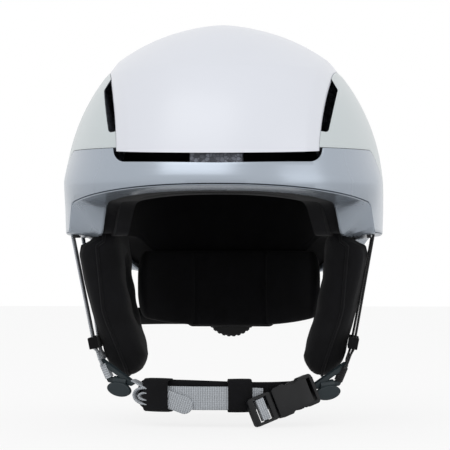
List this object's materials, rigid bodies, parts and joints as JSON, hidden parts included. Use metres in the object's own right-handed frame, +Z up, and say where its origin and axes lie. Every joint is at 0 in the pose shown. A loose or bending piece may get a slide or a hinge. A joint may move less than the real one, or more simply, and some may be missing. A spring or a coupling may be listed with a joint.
{
  "type": "ski helmet",
  "caption": "Adult snow helmet with panelled shell, foam liner, soft ear pads, dial-adjusted nape cradle and a padded chin strap with a side-release buckle.",
  "frame": {"origin": "where the crown of the head meets the comfort liner", "axes": "+Z up, the brow faces -Y, the wearer's left is +X"},
  "size_m": [0.222, 0.2871, 0.2735],
  "materials": {
    "shell_white": "satin lacquered polycarbonate",
    "shell_pale": "satin lacquered polycarbonate",
    "shell_silver": "silver metallic lacquer",
    "foam": "bead foam",
    "lining": "brushed knit",
    "webbing_grey": "ribbed weave",
    "webbing_black": "ribbed weave",
    "steel": "plain",
    "plastic_grey": "moulded",
    "plastic_black": "moulded"
  },
  "bodies": {
    "helmet": {"brow_band": "shell_silver", "brow_pad": "lining", "buckle_socket": "plastic_black", "chin_pad": "lining", "chin_pad_loops": "lining", "chin_webbing": "webbing_grey", "comfort_liner": "lining", "cradle_yoke": "plastic_black", "crown_panel": "shell_white", "divider_left": "plastic_grey", "divider_right": "plastic_grey", "ear_clips": "plastic_black", "ear_loop_left": "lining", "ear_loop_right": "lining", "ear_pad_left": "lining", "ear_pad_right": "lining", "goggle_clip_base": "plastic_black", "goggle_clip_pin": "steel", "impact_liner": "foam", "neck_pad": "lining", "rear_band": "shell_pale", "rim_wrap": "shell_silver", "side_panel_left": "shell_pale", "side_panel_right": "shell_pale", "socket_webbing": "webbing_black", "strap_anchors": "plastic_black", "strap_front_left": "webbing_black", "strap_front_right": "webbing_grey", "strap_rear_left": "webbing_black", "strap_rear_right": "webbing_grey", "webbing_bridge": "webbing_grey", "webbing_fold": "webbing_grey", "webbing_tail": "webbing_grey", "yoke_cover": "plastic_black"},
    "dial": {"fit_dial": "plastic_black", "dial_pinion": "plastic_black", "dial_screw": "steel"},
    "band_l": {"band_left": "plastic_black"},
    "band_r": {"band_right": "plastic_black"},
    "goggle_lever": {"goggle_clip": "plastic_black"},
    "lock_l": {"divider_lock_left": "plastic_grey"},
    "lock_r": {"divider_lock_right": "plastic_grey"},
    "plug": {"buckle_plug": "plastic_black", "plug_webbing": "webbing_grey"},
    "arm_u": {"buckle_arm_upper": "plastic_black"},
    "arm_d": {"buckle_arm_lower": "plastic_black"}
  },
  "joints": [
    {"name": "dial_turn", "type": "hinge", "parent": "helmet", "child": "dial", "pos_m": [0, 0.102, -0.163], "axis": [0, -1, 0], "range_deg": [-40, 80]},
    {"name": "band_left_slide", "type": "slide", "parent": "helmet", "child": "band_l", "axis": [-1, 0, 0], "range_m": [-0.0043, 0.0085]},
    {"name": "band_right_slide", "type": "slide", "parent": "helmet", "child": "band_r", "axis": [1, 0, 0], "range_m": [-0.0043, 0.0085]},
    {"name": "goggle_clip_hinge", "type": "hinge", "parent": "helmet", "child": "goggle_lever", "pos_m": [0, 0.1402, -0.088], "axis": [1, 0, 0], "range_deg": [0, 60]},
    {"name": "divider_lock_left_hinge", "type": "hinge", "parent": "helmet", "child": "lock_l", "pos_m": [0.0711, -0.029, -0.21075], "axis": [-0.8929, -0.4355, -0.1145], "range_deg": [0, 55]},
    {"name": "divider_lock_right_hinge", "type": "hinge", "parent": "helmet", "child": "lock_r", "pos_m": [-0.0711, -0.029, -0.20875], "axis": [-0.8929, 0.4355, 0.1145], "range_deg": [0, 55]},
    {"name": "buckle_slide", "type": "slide", "parent": "helmet", "child": "plug", "axis": [-0.8508, -0.4004, -0.3403], "range_m": [0, 0.016], "deforming": ["webbing_bridge"]},
    {"name": "buckle_arm_upper_flex", "type": "hinge", "parent": "plug", "child": "arm_u", "pos_m": [0.03321, -0.05217, -0.21738], "axis": [-0.3717, 0.9163, -0.1487], "range_deg": [0, 14]},
    {"name": "buckle_arm_lower_flex", "type": "hinge", "parent": "plug", "child": "arm_d", "pos_m": [0.03793, -0.05217, -0.22917], "axis": [0.3717, -0.9163, 0.1487], "range_deg": [0, 14]}
  ],
  "couplings": [
    {"joint": "band_left_slide", "follows": "dial_turn", "m_per_rad": 0.006},
    {"joint": "band_right_slide", "follows": "dial_turn", "m_per_rad": 0.006},
    {"joint": "buckle_arm_upper_flex", "follows": "buckle_slide", "rad_per_m": 14.9},
    {"joint": "buckle_arm_lower_flex", "follows": "buckle_slide", "rad_per_m": 14.9}
  ]
}
